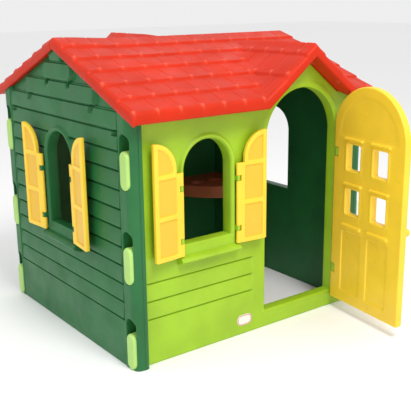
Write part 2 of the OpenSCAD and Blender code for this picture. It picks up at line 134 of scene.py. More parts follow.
def slot_sd(u: Array, v: Array, mid: float, half: float, low: float, high: float) -> Array:
    """Signed distance to an upright slot with two round ends, about the line u = mid."""
    nearest = np.clip(v, low + half, high - half)
    return np.hypot(u - mid, v - nearest) - half


def grid_lines(low: float, high: float, step: float, fine: Sequence[tuple[float, float, float]] = (),
               marks: Sequence[float] = ()) -> Array:
    """Grid lines that are close together where the shape needs it.

    Args:
        low: First line.
        high: Last line.
        step: Widest spacing.
        fine: Stretches of (start, end, spacing).
        marks: Lines that must be there.

    Returns:
        Sorted line positions.
    """
    kept = [m for m in marks if low < m < high] + [low, high]
    for a, b, spacing in sorted([*fine, (low, high, step)], key=lambda item: item[2]):
        count = max(1, int(round((b - a) / spacing)))
        have = np.array(sorted(kept))
        for c in np.linspace(a, b, count + 1):
            if low < c < high and np.abs(have - c).min() > 0.45 * spacing:
                kept.append(float(c))
    return np.unique(np.round(np.array(kept), 6))


def level(height: float) -> Field:
    """A flat face at one height."""
    return lambda u, v: np.full_like(u, height)


def box_field(low: Sequence[float], high: Sequence[float], radius: float = 0.0) -> Field:
    """The outline of one upright box with round corners."""
    return lambda u, v: box_sd(u, v, low, high, radius)


def near(places: Iterable[float], before: float, after: float, spacing: float) -> list[tuple[float, float, float]]:
    """Stretches of fine grid lines, from `before` under each place to `after` over it."""
    return [(p - before, p + after, spacing) for p in places]


# ---------------------------------------------------------------- meshes


class Shell:
    """Points and faces gathered into one object."""

    def __init__(self) -> None:
        self.points: list[Array] = []
        self.tones: list[Array] = []
        self.faces: list[list[int]] = []
        self.count = 0

    def add(self, points: Array, faces: list[list[int]], place: Matrix | None = None,
            tone: Field | None = None) -> None:
        """Adds a closed surface.

        Args:
            points: An n by 3 array.
            faces: Corner numbers, counter-clockwise from outside.
            place: Where the surface goes; a mirroring one turns the faces round.
            tone: Share of the finish's second colour, from the plate's own u and v; it lays painted shade, painted
                highlights and a rim's own colour.
        """
        self.tones.append(np.zeros(len(points)) if tone is None else tone(points[:, 0], points[:, 1]))
        if place is not None:
            m = np.array(place)
            points = points @ m[:3, :3].T + m[:3, 3]
            if np.linalg.det(m[:3, :3]) < 0:
                faces = [f[::-1] for f in faces]
        base = self.count
        self.points.append(points)
        self.faces.extend([[base + i for i in f] for f in faces])
        self.count += len(points)

    def plate(self, place: Matrix, *mould: Field | Array | float, tone: Field | None = None) -> None:
        """Meshes a plate, from what `moulded_plate` takes, and adds it."""
        self.add(*moulded_plate(*mould), place, tone)

    def build(self, name: str, finish: "Finish", node: str, body: str = "house") -> None:
        """Makes the Blender object and hands it to the frame.

        Args:
            name: Object name.
            finish: Its surface.
            node: Frame node it stands for.
            body: Moving body it rides on.
        """
        mesh = bpy.data.meshes.new(name)
        mesh.from_pydata(np.concatenate(self.points).tolist(), [], self.faces)
        mesh.polygons.foreach_set("use_smooth", np.ones(len(mesh.polygons), bool))
        mesh.set_sharp_from_angle(angle=math.radians(SHARP_DEG))
        tone = mesh.attributes.new("tone", "FLOAT", "POINT")
        tone.data.foreach_set("value", np.concatenate(self.tones).astype(np.float32))
        mesh.materials.append(finish.material())
        obj = bpy.data.objects.new(name, mesh)
        bpy.context.scene.collection.objects.link(obj)
        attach(obj, body)
        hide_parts(node)
        LOG.info("%s: %d faces", name, len(mesh.polygons))


def _edge_points(shape: Field, a: Array, b: Array, roll: float) -> Array:
    """Where the outline, drawn in by the roll, crosses each grid edge.

    Args:
        shape: Signed distance.
        a: Inside end points, n by 2.
        b: Outside end points, n by 2.
        roll: Radius of the rolled edge.

    Returns:
        Crossing points, n by 2, found by halving each edge.
    """
    a, b = a.copy(), b.copy()
    for _ in range(14):
        mid = (a + b) / 2
        within = (shape(mid[:, 0], mid[:, 1]) + roll < 0)[:, None]
        a, b = np.where(within, mid, a), np.where(within, b, mid)
    return (a + b) / 2


def moulded_plate(shape: Field, u: Array, v: Array, front: Field, back: Field, roll: float,
                  arc: int = 4) -> Surface:
    """Meshes a plate from its outline, the relief of its two faces and its rolled edge.

    The faces are grids cut along the outline drawn in by the roll. From each cut point the
    surface turns outward by roll * sin(a) and down by roll * (1 - cos(a)), a from 0 to 90
    degrees, and a straight side joins the two rolls.

    Args:
        shape: Signed distance to the outline, negative inside.
        u: Grid lines along the first axis.
        v: Grid lines along the second axis.
        front: Height of the front face.
        back: Height of the back face.
        roll: Radius of the rolled edge.
        arc: Steps round the roll.

    Returns:
        Points as (u, v, height), and faces counter-clockwise from outside.
    """
    uu, vv = np.meshgrid(u, v, indexing="ij")
    inside = shape(uu, vv) + roll < 0
    index = np.full(inside.shape, -1)
    index[inside] = np.arange(inside.sum())
    flat = np.stack([uu[inside], vv[inside]], 1)
    grid = np.stack([uu, vv], 2)
    cut_u = inside[:-1] != inside[1:]
    cut_v = inside[:, :-1] != inside[:, 1:]
    ends = []
    for cut, first, second, flag in ((cut_u, grid[:-1], grid[1:], inside[:-1]),
                                     (cut_v, grid[:, :-1], grid[:, 1:], inside[:, :-1])):
        one, two, own = first[cut], second[cut], flag[cut][:, None]
        ends.append((np.where(own, one, two), np.where(own, two, one)))
    edge = _edge_points(shape, *(np.concatenate(side) for side in zip(*ends)), roll)
    n, m = len(flat), len(edge)
    number_u, number_v = np.full(cut_u.shape, -1), np.full(cut_v.shape, -1)
    number_u[cut_u] = n + np.arange(cut_u.sum())
    number_v[cut_v] = n + cut_u.sum() + np.arange(cut_v.sum())

    full = inside[:-1, :-1] & inside[1:, :-1] & inside[1:, 1:] & inside[:-1, 1:]
    some = (inside[:-1, :-1] | inside[1:, :-1] | inside[1:, 1:] | inside[:-1, 1:]) & ~full
    i, j = np.nonzero(full)
    face = np.stack([index[i, j], index[i + 1, j], index[i + 1, j + 1], index[i, j + 1]], 1).tolist()
    rim: list[tuple[int, int]] = []
    for i, j in zip(*np.nonzero(some)):
        corner = [index[i, j], index[i + 1, j], index[i + 1, j + 1], index[i, j + 1]]
        cross = [number_u[i, j], number_v[i + 1, j], number_u[i, j + 1], number_v[i, j]]
        loop: list[int] = []
        leave = arrive = first_arrive = -1
        for k in range(4):
            if corner[k] >= 0:
                loop.append(int(corner[k]))
            if cross[k] >= 0:
                loop.append(int(cross[k]))
                if corner[k] >= 0:
                    leave = int(cross[k])
                else:
                    arrive = int(cross[k])
                    if leave >= 0:
                        rim.append((leave, arrive))
                        leave = -1
                    else:
                        first_arrive = arrive
        if leave >= 0:
            rim.append((leave, first_arrive))
        face.append(loop)

    gu = shape(edge[:, 0] + THIN, edge[:, 1]) - shape(edge[:, 0] - THIN, edge[:, 1])
    gv = shape(edge[:, 0], edge[:, 1] + THIN) - shape(edge[:, 0], edge[:, 1] - THIN)
    out = np.stack([gu, gv], 1) / np.maximum(np.hypot(gu, gv), 1e-9)[:, None]
    turns = [math.pi / 2 * k / arc for k in range(1, arc + 1)]
    rows = [flat, edge] + [edge + out * roll * math.sin(a) for a in turns]
    sink = [np.zeros(n + m)] + [np.full(m, roll * (1 - math.cos(a))) for a in turns]
    place, sink_all = np.concatenate(rows), np.concatenate(sink)
    top, low = front(place[:, 0], place[:, 1]), back(place[:, 0], place[:, 1])
    middle = (top + low) / 2
    top, low = np.maximum(top - sink_all, middle + THIN), np.minimum(low + sink_all, middle - THIN)
    total = len(place)
    points = np.concatenate([np.column_stack([place, top]), np.column_stack([place, low])])

    faces = face + [[total + c for c in reversed(f)] for f in face]
    for leave, arrive in rim:
        for k in range(arc):
            a, b = arrive + m * k, leave + m * k
            faces.append([a, b, b + m, a + m])
            faces.append([total + b, total + a, total + a + m, total + b + m])
        a, b = arrive + m * arc, leave + m * arc
        faces.append([a, b, total + b, total + a])
    return points, faces


def lathe(profile: Sequence[tuple[float, float]], steps: int) -> Surface:
    """A turned piece about its own Z axis, closed at both ends.

    Args:
        profile: (radius, height) pairs from bottom to top, with radius 0 at neither end.
        steps: Facets round the axis.

    Returns:
        Points and faces.
    """
    rows = np.array(profile, float)
    turn = np.arange(steps) * 2 * math.pi / steps
    points = np.concatenate([np.stack([r * np.cos(turn), r * np.sin(turn), np.full(steps, z)], 1)
                             for r, z in rows])
    faces: list[list[int]] = []
    for k in range(len(rows) - 1):
        for s in range(steps):
            t = (s + 1) % steps
            faces.append([k * steps + s, k * steps + t, (k + 1) * steps + t, (k + 1) * steps + s])
    faces.append(list(range(steps))[::-1])
    faces.append([(len(rows) - 1) * steps + s for s in range(steps)])
    return points, faces


def rounded_bar(radius: float, low: float, high: float, edge: float) -> Surface:
    """A round bar with rolled ends.

    Args:
        radius: Bar radius.
        low: Bottom height.
        high: Top height.
        edge: Radius of the rolled ends.

    Returns:
        Points and faces.
    """
    bend = [math.pi / 2 * k / 4 for k in range(5)]
    start = [(radius - edge + edge * math.sin(a), low + edge - edge * math.cos(a)) for a in bend]
    end = [(radius - edge + edge * math.cos(a), high - edge + edge * math.sin(a)) for a in bend]
    return lathe(start + end, 32)


def axes(origin: Sequence[float], first: Sequence[float], second: Sequence[float],
         normal: Sequence[float]) -> Matrix:
    """A placement from an origin and three directions.

    Args:
        origin: Where the plate's (0, 0, 0) goes.
        first: Direction of u.
        second: Direction of v.
        normal: Direction of the plate's height.

    Returns:
        The 4 by 4 matrix.
    """
    m = Matrix.Identity(4)
    for k in range(3):
        m[k][0], m[k][1], m[k][2], m[k][3] = first[k], second[k], normal[k], origin[k]
    return m


# ---------------------------------------------------------------- finishes


class Hue(Enum):
    """The playhouse's mould colours, and the colours of the painted knob highlight and panel shade, as linear
    values.
    """

    LIGHT_GREEN = (0.340, 0.560, 0.018)
    PALE_GREEN = (0.420, 0.680, 0.170)
    DARK_GREEN = (0.018, 0.150, 0.040)
    RED = (0.600, 0.026, 0.005)
    # Painted highlight colour, laid on the roof's shingle knobs.
    KNOB_HIGHLIGHT = (0.900, 0.200, 0.110)
    YELLOW = (0.960, 0.640, 0.040)
    # Painted shade colour, laid in the shutters' sunk panels.
    PANEL_SHADE = (0.760, 0.420, 0.028)
    TERRACOTTA = (0.440, 0.120, 0.045)
    IVORY = (0.840, 0.820, 0.760)
    STEEL = (0.600, 0.600, 0.600)


@dataclass(frozen=True)
class Finish:
    """A moulded or metal surface.

    Attributes:
        name: Material name.
        slot: Material slot of the record; not used.
        hue: Base colour.
        roughness: Middle of the roughness range.
        spread: How much the roughness varies.
        stipple: Height of the fine mould texture, in metres.
        mottle_and_highlight: How much the colour varies over a hand's breadth, and how much paler the painted
            highlight on convex edges is.
        glow: Share of light that goes through the surface and comes out again.
        metal: Metallic share.
        gloss: Specular level.
        second: Colour of the parts whose tone is 1, such as the painted shade in a sunk panel, the painted
            highlight on a roof knob, and a rim's own colour.
    """

    name: str
    slot: str
    hue: Hue
    roughness: float = 0.42
    spread: float = 0.10
    stipple: float = 0.00025
    mottle_and_highlight: float = 0.10
    glow: float = 0.08
    metal: float = 0.0
    gloss: float = 0.42
    second: Hue | None = None

    def material(self) -> bpy.types.Material:
        """The finish as a procedural material, made once.

        Returns:
            The material.
        """
        found = bpy.data.materials.get(self.name)
        if found is not None:
            return found
        mat = bpy.data.materials.new(self.name)
        mat.use_nodes = True
        tree = mat.node_tree
        link = tree.links.new
        shader = tree.nodes["Principled BSDF"]
        place = tree.nodes.new("ShaderNodeTexCoord").outputs["Object"]

        def node(kind: str, inputs: dict[str | int, object], **options: str) -> bpy.types.Node:
            made = tree.nodes.new(f"ShaderNode{kind}")
            for key, value in options.items():
                setattr(made, key, value)
            for key, value in inputs.items():
                put(made.inputs[key], value)
            return made

        def put(socket: bpy.types.NodeSocket, value: object) -> None:
            if isinstance(value, bpy.types.NodeSocket):
                link(value, socket)
            else:
                socket.default_value = value

        def noise(scale: float, detail: float) -> bpy.types.NodeSocket:
            return node("TexNoise", {"Scale": scale, "Detail": detail, "Vector": place}).outputs["Fac"]

        def remap(source: bpy.types.NodeSocket, low: float, high: float, start: float = 0.3,
                  end: float = 0.7) -> bpy.types.NodeSocket:
            return node("MapRange", {"From Min": start, "From Max": end, "To Min": low, "To Max": high,
                                     "Value": source}).outputs["Result"]

        def blend(factor: bpy.types.NodeSocket, a: object, b: object) -> bpy.types.NodeSocket:
            return node("Mix", {"Factor": factor, 6: a, 7: b}, data_type="RGBA", blend_type="MIX").outputs[2]

        base = (*self.hue.value, 1.0)
        deep = tuple(c * (1 - 1.8 * self.mottle_and_highlight) for c in self.hue.value) + (1.0,)
        # A paler copy of the hue, used only for the painted highlight on convex edges.
        pale = tuple(min(1.0, c * (1 + self.mottle_and_highlight) + 0.01) for c in self.hue.value) + (1.0,)
        colour = blend(remap(noise(7.0, 4.0), 0.0, 1.0), base, deep)
        # Painted highlight: convex edges, where pointiness is high, are blended up to 55% towards the paler copy of
        # the hue.
        edge_highlight_mask = node("NewGeometry", {}).outputs["Pointiness"]
        colour = blend(remap(edge_highlight_mask, 0.0, 0.55, 0.51, 0.60), colour, pale)
        if self.second is not None:
            tone = node("Attribute", {}, attribute_name="tone").outputs["Fac"]
            colour = blend(tone, colour, (*self.second.value, 1.0))
        grain = node("Bump", {"Distance": self.stipple, "Strength": 0.7, "Height": noise(620.0, 2.0)})
        wave = node("Bump", {"Distance": self.stipple * 9, "Strength": 0.5, "Height": noise(14.0, 1.0),
                             "Normal": grain.outputs["Normal"]})
        rough = remap(noise(11.0, 3.0), self.roughness - self.spread, self.roughness + self.spread)
        for key, value in (("Base Color", colour), ("Specular IOR Level", self.gloss), ("Roughness", rough),
                           ("Metallic", self.metal), ("Subsurface Weight", self.glow),
                           ("Subsurface Scale", 0.006), ("Subsurface Radius", (1.0, 0.8, 0.5)),
                           ("Normal", wave.outputs["Normal"])):
            put(shader.inputs[key], value)
        return mat


LIGHT_GREEN = Finish("light_green_plastic", "light_green", Hue.LIGHT_GREEN)
PALE_GREEN = Finish("pale_green_plastic", "pale_green", Hue.PALE_GREEN, mottle_and_highlight=0.06)
DARK_GREEN = Finish("dark_green_plastic", "dark_green", Hue.DARK_GREEN, roughness=0.42, mottle_and_highlight=0.12, gloss=0.34)
# Its second colour is the painted highlight on the roof's shingle knobs.
RED = Finish("red_plastic", "red", Hue.RED, roughness=0.42, gloss=0.16, second=Hue.KNOB_HIGHLIGHT)
# Its second colour is the painted shade in the shutters' sunk panels.
YELLOW = Finish("yellow_plastic", "yellow", Hue.YELLOW, roughness=0.36, mottle_and_highlight=0.06, second=Hue.PANEL_SHADE)
TERRACOTTA = Finish("terracotta_plastic", "terracotta", Hue.TERRACOTTA, roughness=0.45)
IVORY = Finish("ivory_plastic", "ivory", Hue.IVORY, roughness=0.30, mottle_and_highlight=0.04, second=Hue.RED)
STEEL = Finish("zinc_plated_steel", "steel", Hue.STEEL, roughness=0.35, mottle_and_highlight=0.08, glow=0.0, metal=1.0)


# ---------------------------------------------------------------- sizes


@dataclass(frozen=True)
class House:
    """Sizes shared by several pieces, in metres, in house coordinates.

    House coordinates start at the left wall's outer face, the front face and the ground.
    """

    width: float = 1.180
    depth: float = 1.020
    side_t: float = 0.044
    front_t: float = 0.050
    gap: float = 0.0005
    under_roof: float = 0.0004
    ridge: float = 1.200
    fall: float = 0.40
    roof_t: float = 0.036
    gable_fall: float = 0.77
    gable_t: float = 0.046
    front_gable: float = 1.160
    back_gable: float = 1.180
    eave_out: float = 0.078
    rake_out: float = 0.012
    board: float = 0.071
    board_top: float = 1.138
    base: float = 0.188
    column: float = 0.052
    post_out: float = 0.024
    post_w: float = 0.058
    post_r: float = 0.032
    tab_half: float = 0.026
    tab_y: float = 0.014
    tab_h: float = 0.142
    tab_drop: float = 0.060
    tab_levels: tuple[float, ...] = (0.002, 0.338, 0.690)
    window_half: float = 0.110
    sill: float = 0.447
    spring: float = 0.728
    window_x: float = 0.354
    frame_w: float = 0.023
    frame_out: float = 0.010
    shutter_low: float = 0.410
    shutter_hinge: float = 0.134
    shutter_axis: float = 0.020
    shutter_lugs: tuple[float, ...] = (0.460, 0.661)
    door_x: float = 0.840
    door_half: float = 0.194
    door_spring: float = 0.796
    door_axis: float = 0.019
    door_lugs: tuple[float, ...] = (0.170, 0.690)
    threshold: float = 0.075

    @property
    def mid(self) -> float:
        """Depth of the ridge."""
        return self.depth / 2

    @property
    def door_hinge(self) -> float:
        """Distance of the door's hinge line from the left wall."""
        return self.door_x + self.door_half + 0.003

    @property
    def slot_tops(self) -> list[float]:
        """Heights where the slots for the tabs end."""
        return [low + self.tab_h + self.tab_drop for low in self.tab_levels]

    def under(self, y: Array) -> Array:
        """Underside of the main roof at depth y, from front to back."""
        return self.ridge - self.roof_t - self.fall * np.abs(y - self.mid)


H = House()
FLAT = (X, Y, Z)  # directions of a plate laid as its host is
WINDOW_ROWS = [(H.shutter_low - 0.012, H.shutter_low + 0.008, 0.004), (0.438, 0.456, 0.004), (0.735, 0.872, 0.004)]


def find_site() -> Matrix:
    """Reads off the frame's own pieces how house coordinates go to frame coordinates.

    Returns:
        The translation.
    """
    low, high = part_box("front_wall")
    return Matrix.Translation(((low.x + high.x) / 2 - H.width / 2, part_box("back_wall")[1].y - H.depth, 0.0))


# ---------------------------------------------------------------- shared details


class WindowTrim:
    """Frame band, sill ledge and hinge lugs of one arched window.

    Window coordinates run along the wall from the window's middle, upward, and out of the wall.
    """

    @staticmethod
    def band(u: Array, v: Array, height: Array, wall: float) -> Array:
        """Raises the frame over the wall's relief.

        Args:
            u: Distance from the window's middle.
            v: Height over the ground.
            height: The wall's relief.
            wall: Height of the wall's plain face.

        Returns:
            The relief, blended to the frame's flat top over 8 mm inside its edge.
        """
        edge = arch_sd(u, v, 0.0, H.window_half + H.frame_w, H.shutter_low - 0.012, H.spring)
        share = smooth(-edge / 0.008)
        inner = 0.006 * smooth((0.010 - WindowTrim.hole(u, v)) / 0.010)
        ledge = 0.008 * smooth((v - H.shutter_low) / (H.sill - H.shutter_low)) * (np.abs(u) < H.window_half)
        ledge = np.where(v < H.sill + 0.004, ledge, 0.0)
        return height * (1 - share) + (wall + H.frame_out - np.maximum(inner, ledge)) * share

    @staticmethod
    def hole(u: Array, v: Array) -> Array:
        """Signed distance to the opening."""
        return arch_sd(u, v, 0.0, H.window_half, H.sill, H.spring)

    @staticmethod
    def dress(shell: Shell, place: Matrix) -> None:
        """Adds the sill ledge and the four hinge lugs.

        Args:
            shell: The wall's shell.
            place: Window coordinates to frame coordinates.
        """
        top, low = H.shutter_low - 0.003, H.shutter_low - 0.040
        heights = np.array([low, low + 0.006, top - 0.024, top - 0.019, top - 0.014, top - 0.006, top])
        depths = np.array([0.004, 0.010, 0.030, 0.0355, 0.036, 0.027, 0.013])
        half = H.window_half + H.frame_w + 0.009
        shell.plate(place, box_field((-half, low), (half, top), 0.008),
                    grid_lines(-half - 0.001, half + 0.001, 0.012,
                               [(-half - 0.001, 0.012 - half, 0.003), (half - 0.012, half + 0.001, 0.003)]),
                    grid_lines(low, top, 0.0025), lambda u, v: np.interp(v, heights, depths), level(-0.004), 0.003)
        for side in (-1, 1):
            for z in H.shutter_lugs:
                upright = axes((side * H.shutter_hinge, z, H.shutter_axis), -X, Z, Y)
                shell.plate(place @ upright,
                            lambda u, v: np.minimum(np.hypot(u, v) - 0.0077,
                                                    box_sd(u, v, (-0.0062, -0.024), (0.0062, 0.0))),
                            grid_lines(-0.008, 0.008, 0.0011), grid_lines(-0.024, 0.008, 0.0014),
                            level(0.020), level(0.0), 0.0016, 3)


def tab(shell: Shell, place: Matrix) -> None:
    """Adds the three locking tabs of one wall end.

    Args:
        shell: The wall's shell.
        place: Depth, height and outward distance to frame coordinates.
    """
    for low in H.tab_levels:
        high = low + H.tab_h
        shell.plate(place, lambda u, v: slot_sd(u, v, H.tab_y, H.tab_half, low, high),
                    grid_lines(-0.013, 0.041, 0.0035),
                    grid_lines(low, high, 0.006, [(low, low + 0.03, 0.0035), (high - 0.03, high, 0.0035)]),
                    level(0.0035), level(0.0005 - H.side_t), 0.009, 6)


# ---------------------------------------------------------------- walls


@dataclass(frozen=True)
class SideWall:
    """A lap-boarded side wall with its two corner posts and an arched window.

    Attributes:
        name: Frame node.
        place: (depth, height, outward) to frame coordinates.
    """

    name: str
    place: Matrix

    def outline(self, y: Array, z: Array) -> Array:
        """Signed distance to the wall with its slots and window."""
        roofline = (z - H.under(y) + H.under_roof) / math.hypot(1, H.fall)
        d = np.maximum(box_sd(y, z, (-H.post_out, 0.0), (H.depth + H.post_out, 1.3)), roofline)
        from_end = np.where(y < H.mid, y, H.depth - y)
        for low, high in zip(H.tab_levels, H.slot_tops):
            d = np.maximum(d, -slot_sd(from_end, z, H.tab_y, H.tab_half + 0.001, low - 0.0005, high))
        return np.maximum(d, -WindowTrim.hole(y - H.mid, z))

    @staticmethod
    def board_half(top: Array) -> Array:
        """Half length of a board whose upper edge is at this height: to the posts, or to the roof."""
        return np.minimum(H.mid - H.column, (H.ridge - H.roof_t - 0.004 - np.minimum(top, H.board_top)) / H.fall)

    def boards(self, y: Array, z: Array) -> Array:
        """Relief of the lap boards over the plain slab behind them.

        Each board swells from 3 mm at its top to 12 mm near its foot, where it rolls under,
        and in the gable each board ends in a round nose short of the roof.
        """
        row = np.floor((z - H.base) / H.board)
        rise = (z - H.base) / H.board - row
        body = 0.003 + 0.0085 * (1 - rise) ** 0.75 + 0.0012 * np.sin(np.pi * rise)
        body = body - 0.0065 * smooth((rise - 0.89) / 0.05)
        relief = body * smooth(rise / 0.05) + 0.001 * (1 - smooth(rise / 0.05))
        half = self.board_half(H.base + (row + 1) * H.board)
        end = np.abs(y - H.mid) - half
        nose = 0.020 - 0.020 * np.sqrt(np.maximum(0.0, 1.0 - (1 - 2 * rise) ** 2))
        gable = half < H.mid - H.column - 0.001
        mask = np.where(gable, smooth(-(end + nose) / 0.006), smooth(-end / 0.004))
        column = smooth((np.abs(y - H.mid) - H.mid + H.column) / 0.004)
        board = relief * mask - 0.007 * (1 - mask) * gable
        plain = 0.0095 * smooth((H.base - z) / 0.004)
        return np.where(z < H.base, plain, board) * (1 - column) + 0.012 * column

    def pockets(self, y: Array, z: Array) -> Array:
        """Depth of the dark pockets under the gable boards."""
        depth = np.zeros_like(y)
        for row in range(10, 13):
            line = H.base + row * H.board
            for side in (-1, 1):
                mid = H.mid + side * (self.board_half(line + H.board) - 0.030)
                d = box_sd(y, z, (mid - 0.015, line - 0.021), (mid + 0.015, line - 0.001), 0.005)
                depth = np.maximum(depth, 0.022 * smooth(-d / 0.003))
        return depth

    def face(self, y: Array, z: Array) -> Array:
        """Height of the outer face over the slab's inner face."""
        edge = np.minimum(y + H.post_out, H.depth + H.post_out - y)
        inward = np.clip(H.post_r - edge, 0.0, H.post_r - 1e-4)
        drop = H.post_r - np.sqrt(H.post_r ** 2 - inward ** 2)
        relief = self.boards(y, z) - 0.012 - self.pockets(y, z) - drop + H.side_t
        return WindowTrim.band(y - H.mid, z, relief, H.side_t)

    def build(self) -> None:
        """Meshes the wall, its posts' returns, and the window's trim."""
        lines = [H.base + H.board * k + d for k in range(14)
                 for d in (-0.013, -0.008, -0.006, -0.0042, -0.0012, 0.0004, 0.0022, 0.0042, 0.012)]
        u = grid_lines(-H.post_out - 0.002, H.depth + H.post_out + 0.002, 0.014, [
            (-0.026, 0.058, 0.004), (H.depth - 0.058, H.depth + 0.026, 0.004), *near([H.mid], 0.135, 0.135, 0.004)])
        v = grid_lines(-0.002, 1.168, 0.012, [
            *WINDOW_ROWS, (1.02, 1.12, 0.006), *near(H.slot_tops, 0.032, 0.003, 0.004),
            *near(H.tab_levels, 0.003, 0.03, 0.005)], lines)
        shell = Shell()
        shell.plate(self.place, self.outline, u, v, self.face, level(0.0), 0.003, 3)
        post = float(H.under(np.array(-H.post_out))) - 0.0005
        for sign, start in ((1, 0.0), (-1, H.depth)):
            upright = axes((start, 0, H.side_t), sign * X, -Z, Y)
            shell.plate(self.place @ upright, box_field((-H.post_out, 0.030), (-H.gap, H.post_w), 0.007),
                        grid_lines(-0.026, 0.001, 0.0025), grid_lines(0.028, 0.060, 0.0025),
                        level(post), level(0.0), 0.003, 3)
        WindowTrim.dress(shell, self.place @ axes((H.mid, 0, H.side_t), *FLAT))
        shell.build(f"{self.name}_panel", DARK_GREEN, self.name)


@dataclass(frozen=True)
class GableWall:
    """A front or back wall: a plate with tabs at both ends.

    Attributes:
        name: Frame node.
        gable_x: Middle of its gable, from the left wall.
        gable_z: Ridge height over it.
        lap_to: Where the lap lines end.
        front: True for the wall with the door and the window.
    """

    name: str
    gable_x: float
    gable_z: float
    lap_to: float
    front: bool

    def outline(self, x: Array, z: Array) -> Array:
        """Signed distance to the wall."""
        start = H.side_t + H.gap
        eave = float(H.under(np.array(0.0))) - H.under_roof
        peak = self.gable_z - H.gable_t - H.under_roof
        slope = (z - peak + H.gable_fall * np.abs(x - self.gable_x)) / math.hypot(1, H.gable_fall)
        d = np.maximum(box_sd(x, z, (start, 0.0), (H.width - start, 1.3)), np.minimum(z - eave, slope))
        if self.front:
            d = np.maximum(d, -WindowTrim.hole(x - H.window_x, z))
            d = np.maximum(d, -arch_sd(x, z, H.door_x, H.door_half, H.threshold, H.door_spring))
        return d

    def face(self, x: Array, z: Array) -> Array:
        """Height of the outer face: lap lines, door band and window frame."""
        height = np.full_like(x, H.front_t)
        ends = smooth((x - H.post_w - 0.010) / 0.012) * smooth((self.lap_to - x) / 0.012)
        for k in range(3):
            line = H.base + k * H.board
            under = np.clip((z - line + H.board) / H.board, 0.0, 1.0)
            cut = 0.0070 * under ** 1.6 + 0.0045 * smooth((z - line + 0.010) / 0.003)
            height = height - np.where(z < line, cut * smooth((line - z) / 0.0025), 0.0) * ends
        if self.front:
            d = arch_sd(x, z, H.door_x, H.door_half, H.threshold, H.door_spring)
            height = height + 0.003 * smooth((0.028 - d) / 0.006) * smooth((z - 0.60) / 0.10)
            height = WindowTrim.band(x - H.window_x, z, height, H.front_t)
        return height

    def build(self, place: Matrix) -> None:
        """Meshes the wall and its tabs.

        Args:
            place: (along, height, outward from the inner face) to frame coordinates.
        """
        fine_u = [(0.043, 0.090, 0.006), (self.lap_to - 0.02, self.lap_to + 0.006, 0.004)]
        fine_v: list[tuple[float, float, float]] = []
        if self.front:
            fine_u += [*near([H.window_x], 0.135, 0.135, 0.004), *near([H.door_x], 0.235, -0.150, 0.005),
                       *near([H.door_x], -0.150, 0.235, 0.005), *near([H.door_x], 0.150, 0.150, 0.008)]
            fine_v += [*WINDOW_ROWS, (0.872, 1.03, 0.006), (0.066, 0.084, 0.004)]
        lines = [H.base + H.board * k + d for k in range(3)
                 for d in (-0.014, -0.0105, -0.0085, -0.0065, -0.0028, -0.0012, 0.0, 0.002)]
        tabs = Shell()
        for sign, start in ((-1, 0.0), (1, H.width)):
            tab(tabs, place @ axes((start, 0, H.front_t), -Z, Y, sign * X))
        tabs.build(f"{self.name}_tab_set", PALE_GREEN, f"{self.name}_tabs")
        shell = Shell()
        shell.plate(place, self.outline, grid_lines(0.040, H.width - 0.040, 0.014, fine_u),
                    grid_lines(-0.002, 1.14, 0.013, fine_v, lines), self.face, level(0.0), 0.006)
        if self.front:
            WindowTrim.dress(shell, place @ axes((H.window_x, 0, H.front_t), *FLAT))
            self.door_lugs(shell, place @ axes((H.door_hinge, 0, H.front_t + H.door_axis), *FLAT))
        shell.build(f"{self.name}_panel", LIGHT_GREEN if self.front else DARK_GREEN, self.name)

    @staticmethod
    def door_lugs(shell: Shell, place: Matrix) -> None:
        """Adds the two lugs that carry the door's pins."""
        for z in H.door_lugs:
            upright = axes((0, z, 0), X, Z, Y)
            shell.plate(place @ upright,
                        lambda u, v: np.minimum(np.hypot(u, v) - 0.013, box_sd(u, v, (0.0, -0.022), (0.013, 0.0))),
                        grid_lines(-0.0135, 0.0135, 0.0016), grid_lines(-0.022, 0.0135, 0.0018),
                        level(0.036), level(0.0), 0.002, 3)


# ---------------------------------------------------------------- roof


GABLE_SHIFT = 0.03  # sideways shift of the cross gables' shingles


@dataclass(frozen=True)
class Shingles:
    """Relief of overlapping shingles.

    Attributes:
        course: Exposed length of a course, measured in plan.
        width: Width of one shingle.
        step: Height of a shingle's lower edge.
        groove: Depth of the gap between two shingles.
    """

    course: float = 0.101
    width: float = 0.096
    step: float = 0.0115
    groove: float = 0.0020

    def relief(self, run: Array, along: Array, shift: float = 0.0) -> Array:
        """Height over the bare slope.

        A shingle is a wedge, thickest at its lower edge. The lower edge is bowed, the rows
        are staggered by half a shingle, each row leans by its own small amount, and a small
        knob stands at each lower corner.

        Args:
            run: Plan distance up from the eave.
            along: Distance along the eave.
            shift: Sideways shift of the whole pattern.

        Returns:
            The relief.
        """
        row = np.floor(run / self.course)
        b = run - row * self.course
        place = (along + shift) / self.width + 0.5 * (row % 2)
        tile = np.floor(place)
        a = (place - tile - 0.5) * 2
        jitter = np.sin(tile * 12.9898 + row * 78.233) * 43758.5453
        jitter = jitter - np.floor(jitter)
        low_edge = 0.005 * np.abs(a) ** 5 + 0.0025 * jitter
        on = smooth((b - low_edge) / 0.0035)
        wedge = self.step * (0.35 + 0.65 * (1 - b / self.course)) * on + self.step * 0.35 * (1 - on)
        gap = self.groove * np.exp(-((1 - np.abs(a)) * self.width / 2 / 0.0028) ** 2) * on
        knob = self.knobs(run, along, shift)
        return wedge - gap * (1 - knob) + 0.0035 * knob

    def knobs(self, run: Array, along: Array, shift: float = 0.0) -> Array:
        """Small round knobs, one over each joint near the lower edge.

        Args:
            run, along, shift: As `relief` takes them.

        Returns:
            1 at a knob's middle, falling off as exp(-(distance / 6 mm)^2).
        """
        row = np.floor(run / self.course)
        place = (along + shift) / self.width + 0.5 * (row % 2)
        side = (0.5 - np.abs(place - np.floor(place) - 0.5)) * self.width
        return np.exp(-(side ** 2 + (run - row * self.course - 0.013) ** 2) / 0.006 ** 2)


